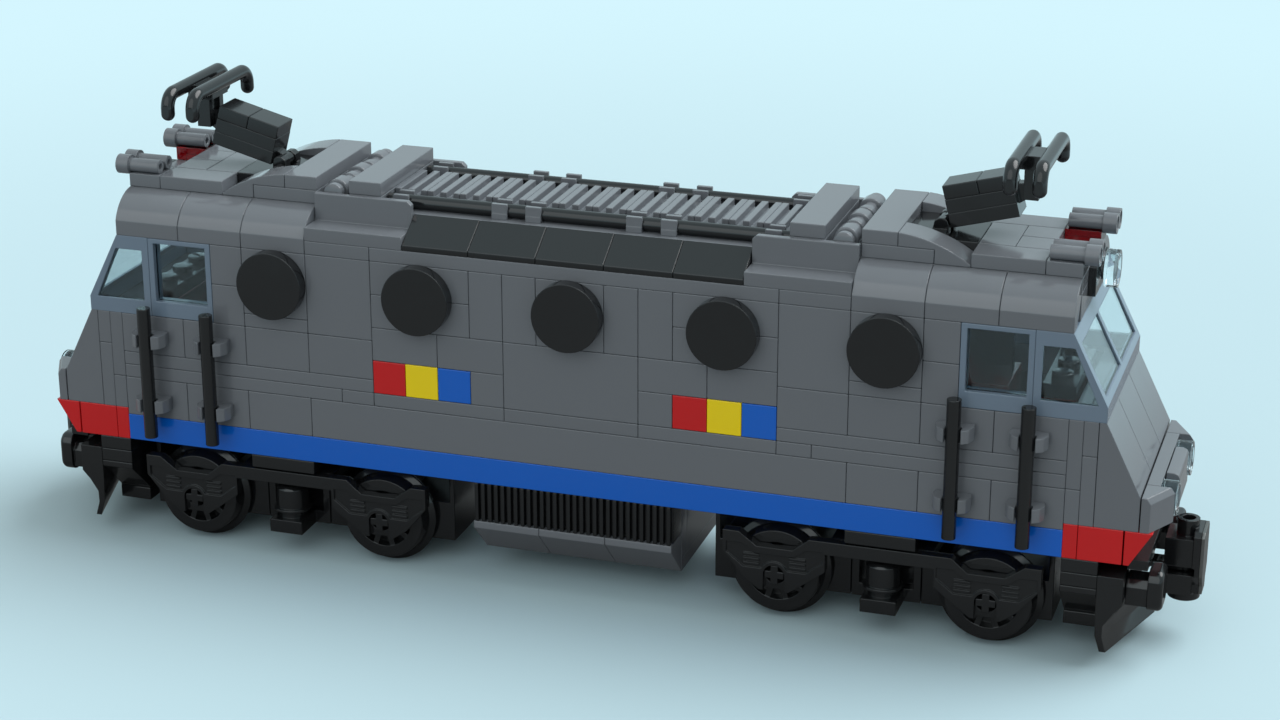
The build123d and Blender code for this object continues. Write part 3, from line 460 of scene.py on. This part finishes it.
# insulators: a turned chain of knobs on a low foot, lying across the roof
chain = {
    "places": (-60.0, 60.0),  # along the locomotive
    "height": 88.85,  # of its middle line
    "halfLength": 15.9,
    "foot": (86.0, 87.6),
    "footHalfWidth": 1.5,
    "neck": 1.9,
    # knobs of one half: from, to and radius
    "knobs": ((14.1, 15.9, 2.35), (9.4, 13.3, 2.75), (3.9, 6.4, 2.3), (-2.0, 2.0, 2.75)),
    "crown": 0.35,  # rounding at each rim
    "crownMiddle": 0.3,  # share of it left at the middle of the rounding
    "turns": 36,
    "crease": 35,
}
knobs = set()
for near, far, radius in chain["knobs"]:
    knobs.add((near, far, radius))
    knobs.add((-far, -near, radius))
reach = chain["halfLength"]
crown = chain["crown"]
middle = crown * chain["crownMiddle"]
outline = [(0, -reach)]
for near, far, radius in sorted(knobs):
    if outline[-1][0] > 0:
        outline.append((chain["neck"], near))
    outline += [(radius - crown, near), (radius - middle, near + middle),
                (radius, near + crown), (radius, far - crown),
                (radius - middle, far - middle), (radius - crown, far)]
    if far < reach:
        outline.append((chain["neck"], far))
outline.append((0, reach))
form = bmesh.new()
for x in chain["places"]:
    addLathe(form, outline, (x, 0, chain["height"]), (0, 1, 0), chain["turns"])
    addBox(form, (x - chain["footHalfWidth"], -reach, chain["foot"][0]),
           (x + chain["footHalfWidth"], reach, chain["foot"][1]))
piece = place("insulatorChains", form, "body_shell", "darkGrey", chain["crease"])
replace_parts(piece, "insulators")
print("insulators turned")

# clips: eared ones for the grab rails, and the small roof ones from the CAD node
clips = {
    "along": (88.0, 104.0),  # places of the grab rails
    "heights": (34.4, 50.6),
    "thickness": 3.2,
    # plan of a clip: distance from the rail, distance from the middle of the locomotive
    "outline": [(-4.0, 24.05), (-4.3, 26.3), (-3.5, 28.1), (-2.0, 29.2), (-1.8, 28.9),
                (-1.8, 26.9), (-0.9, 26.2), (0.9, 26.2), (1.8, 26.9), (1.8, 28.9),
                (2.0, 29.2), (3.5, 28.1), (4.3, 26.3), (4.0, 24.05)],
    "radius": 0.2,
    "roofFloor": 80.0,  # CAD clips above this are the roof ones
    "roofRadius": 0.15,
}
form = bmesh.new()
for end in ends.values():
    for side in (1, -1):
        for along in clips["along"]:
            corners = [(end * along + x, side * y) for x, y in clips["outline"]]
            for low in clips["heights"]:
                addSlab(form, corners, low, low + clips["thickness"])
roundEdges(form, clips["radius"])
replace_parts(place("grabClips", form, "body_shell", "darkGrey"), "bar_clips")
form = formOf("bar_clips")
dropIslands(form, clips["roofFloor"], below=True)
roundEdges(form, clips["roofRadius"])
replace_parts(place("roofClips", form, "body_shell", "darkGrey"), "bar_clips")
print("clips made")

# bogies, wheels, collectors and couplers of both ends
running = {
    "radius": 0.15,
    "wheelRadius": 0.12,
    "black": ("bogie_frames_", "collector_arm_", "collector_head_", "coupler_carrier_"),
    "magnet": "coupler_magnet_",
    "wheelset": ("wheels_", "axle_"),
    "bolster": "bogie_bolster_",
    "wedgeFoot": deck - 9.55,  # grey wedges over the axles start here
}
for endName in ends:
    for nodeName in running["black"]:
        moulded(nodeName + endName, "black", running["radius"])
    moulded(running["magnet"] + endName, "magnet", running["radius"])
    for axleName in ("inner", "outer"):
        for nodeName in running["wheelset"]:
            moulded(nodeName + endName + "_" + axleName, "black", running["wheelRadius"])
    # the bolster node holds black blocks and grey wedges, so it becomes two pieces
    nodeName = running["bolster"] + endName
    for finish, partName in (("black", "Blocks"), ("darkGrey", "Wedges")):
        form = formOf(nodeName)
        dropIslands(form, running["wedgeFoot"], below=partName == "Wedges")
        roundEdges(form, running["radius"])
        piece = place("bogieBolster" + partName + "_" + endName, form, "bogie_" + endName, finish)
        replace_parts(piece, nodeName)
print("running gear moulded")

# driver's desk: dark red brick under a black plate with three studs
desk = {
    "reach": (104.1, 111.5),
    "halfWidth": 12.0,
    "floor": deck + 25.65,
    "brickTop": deck + 32.0,
    "plateTop": deck + 35.2,
    "seam": 0.05,  # on each side of the joint of brick and plate
    "stud": (2.4, 1.7),  # radius and height
    "studFoot": 0.1,  # how far it starts inside the plate
    "studEdge": 0.2,
    "studsAt": (-8.0, 0.0, 8.0),
    "radius": 0.14,
}
for endName, end in ends.items():
    near, far = (end * value for value in desk["reach"])
    foot = bmesh.new()
    addBox(foot, (near, -desk["halfWidth"], desk["floor"]),
           (far, desk["halfWidth"], desk["brickTop"] - desk["seam"]))
    roundEdges(foot, desk["radius"])
    piece = place("driverDeskFoot_" + endName, foot, "body_shell", "darkRed")
    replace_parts(piece, "driver_desks")
    top = bmesh.new()
    addBox(top, (near, -desk["halfWidth"], desk["brickTop"] + desk["seam"]),
           (far, desk["halfWidth"], desk["plateTop"]))
    radius, height = desk["stud"]
    edge = desk["studEdge"]
    profile = [(0, -desk["studFoot"]), (radius, -desk["studFoot"]), (radius, height - edge),
               (radius - edge, height), (0, height)]
    for studY in desk["studsAt"]:
        addLathe(top, profile, ((near + far) / 2, studY, desk["plateTop"]), (0, 0, 1))
    roundEdges(top, desk["radius"])
    piece = place("driverDeskTop_" + endName, top, "body_shell", "black")
    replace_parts(piece, "driver_desks")
print("cab desks made")

# black partition over each driver's seat, between the side doors
partition = {
    "reach": (84.9, 95.6),
    "halfWidth": 1.6,
    "heights": (deck + 31.9, deck + 50.0),
    "radius": 0.14,
}
form = bmesh.new()
for end in ends.values():
    near, far = (end * value for value in partition["reach"])
    low, high = partition["heights"]
    addBox(form, (near, -partition["halfWidth"], low), (far, partition["halfWidth"], high))
roundEdges(form, partition["radius"])
place("cabCabinets", form, "body_shell", "black")

# drawgear boxes between the buffers, under the nose, each under a wide black shelf that is a dark
# sheet for painted shade
drawbox = {
    "reach": (125.7, 128.4),
    "halfWidth": 11.6,
    "heights": (deck - 6.2, deck - 0.15),
    "shadeShelfReach": 130.2,
    "shadeShelfHalfWidth": 20.0,
    "shadeShelfFoot": deck - 2.5,
    "ribs": (-9.2, -4.6, 4.6, 9.2),
    "ribReach": 129.6,
    "ribHalfWidth": 1.5,
    "ribShort": (0.6, 0.4),  # how much a rib stops short of the box, below and above
    "radius": 0.14,
}
form = bmesh.new()
for end in ends.values():
    near, far = (end * value for value in drawbox["reach"])
    low, high = drawbox["heights"]
    addBox(form, (near, -drawbox["halfWidth"], low), (far, drawbox["halfWidth"], high))
    # the wide shelf stands where the coupler's shadow falls: a black sheet as painted shade
    addBox(form, (near, -drawbox["shadeShelfHalfWidth"], drawbox["shadeShelfFoot"]),
           (end * drawbox["shadeShelfReach"], drawbox["shadeShelfHalfWidth"], high))
    below, above = drawbox["ribShort"]
    half = drawbox["ribHalfWidth"]
    for ribY in drawbox["ribs"]:
        addBox(form, (far, ribY - half, low + below),
               (end * drawbox["ribReach"], ribY + half, high - above))
roundEdges(form, drawbox["radius"])
place("drawBoxesAndShadeShelves", form, "body_shell", "black")
print("partitions and drawgear boxes made")

# floor, pale where it is looked at and greyer in the light that it throws back
floorLook = {
    "colour": (184, 214, 224),
    "farColour": (213, 246, 255),
    "bounceColour": (128, 134, 136),
    "roughness": 0.85,
    "shine": 0.2,
    "size": 40.0,  # metres, as the next
    # inside this span the floor renders darker than the glow outside it: painted shade around the
    # object
    "fade": (0.24, 0.62),  # from the middle, where the floor runs into the backdrop
}
floorMesh = bpy.data.meshes.new("floor")
half = floorLook["size"] / 2
corners = [(-half, -half, 0), (half, -half, 0), (half, half, 0), (-half, half, 0)]
floorMesh.from_pydata(corners, [], [(0, 1, 2, 3)])
floor = bpy.data.objects.new("floor", floorMesh)
bpy.context.scene.collection.objects.link(floor)
floorMaterial, tree, shader, floorPlace = newMaterial("floorPaint")
shader.inputs["Roughness"].default_value = floorLook["roughness"]
shader.inputs["Specular IOR Level"].default_value = floorLook["shine"]
path = addNode(tree, "ShaderNodeLightPath").outputs
seenClear = joined(tree, "MAXIMUM", path["Is Camera Ray"], path["Is Transmission Ray"])
paint = tintOf(tree, fromScreen(floorLook["bounceColour"]), fromScreen(floorLook["colour"]),
               seenClear)
tree.links.new(paint, shader.inputs["Base Color"])
# far out it glows in the colour of the backdrop, for the eye and in reflections; the lit floor
# nearer in renders darker, so the floor lightens away from the object as painted shade around it
distance = addNode(tree, "ShaderNodeVectorMath", operation="LENGTH")
tree.links.new(floorPlace, distance.inputs[0])
fade = riseOf(tree, distance.outputs["Value"], floorLook["fade"])
seen = joined(tree, "MAXIMUM", seenClear, path["Is Glossy Ray"])
farGlow = addNode(tree, "ShaderNodeEmission")
farGlow.inputs["Color"].default_value = fromScreen(floorLook["farColour"])
surface = mixShaders(tree, joined(tree, "MULTIPLY", seen, fade), shader.outputs["BSDF"],
                     farGlow.outputs["Emission"])
# from below the floor is open, so that the underside can be looked at
underneath = addNode(tree, "ShaderNodeNewGeometry").outputs["Backfacing"]
openFloor = addNode(tree, "ShaderNodeBsdfTransparent").outputs["BSDF"]
surface = mixShaders(tree, underneath, surface, openFloor)
tree.links.new(surface, tree.nodes["Material Output"].inputs["Surface"])
floorMesh.materials.append(floorMaterial)
floor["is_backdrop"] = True

# two broad suns: one from behind and the front end, one low from the near side
lamps = {
    "keyLamp": {"turn": (-20, 34), "strength": 2.35, "spread": 50},
    "fillLamp": {"turn": (62, -12), "strength": 0.75, "spread": 70},
}
for name, lamp in lamps.items():
    sun = bpy.data.lights.new(name, "SUN")
    sun.energy = lamp["strength"]
    sun.angle = math.radians(lamp["spread"])
    sunObject = bpy.data.objects.new(name, sun)
    sunObject.rotation_euler = [math.radians(turn) for turn in (*lamp["turn"], 0)]
    bpy.context.scene.collection.objects.link(sunObject)

# soft room: brighter overhead, with the pale backdrop where it is looked at
roomLook = {
    "horizon": (180, 178, 174),
    "overhead": (250, 248, 244),
    "rise": (0.05, 0.75),  # height of the direction from horizon colour to overhead colour
    "strength": 0.62,
    "glossShare": 0.62,  # how much of the backdrop shows in the gloss
}
world = bpy.data.worlds.new("roomLight")
bpy.context.scene.world = world
world.use_nodes = True
tree = world.node_tree
direction = addNode(tree, "ShaderNodeTexCoord")
height = addNode(tree, "ShaderNodeSeparateXYZ")
tree.links.new(direction.outputs["Generated"], height.inputs["Vector"])
rise = riseOf(tree, height.outputs["Z"], roomLook["rise"])
air = tree.nodes["Background"]
air.inputs["Strength"].default_value = roomLook["strength"]
roomTint = tintOf(tree, fromScreen(roomLook["horizon"]), fromScreen(roomLook["overhead"]), rise)
tree.links.new(roomTint, air.inputs["Color"])
backdrop = addNode(tree, "ShaderNodeBackground")
backdrop.inputs["Color"].default_value = fromScreen(floorLook["farColour"])
path = addNode(tree, "ShaderNodeLightPath").outputs
looked = joined(tree, "MAXIMUM", path["Is Camera Ray"], path["Is Transmission Ray"])
inGloss = joined(tree, "MULTIPLY", path["Is Glossy Ray"], roomLook["glossShare"])
shown = joined(tree, "MAXIMUM", looked, inGloss)
surface = mixShaders(tree, shown, air.outputs["Background"], backdrop.outputs["Background"])
tree.links.new(surface, tree.nodes["World Output"].inputs["Surface"])
print("floor and light ready")

low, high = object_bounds()
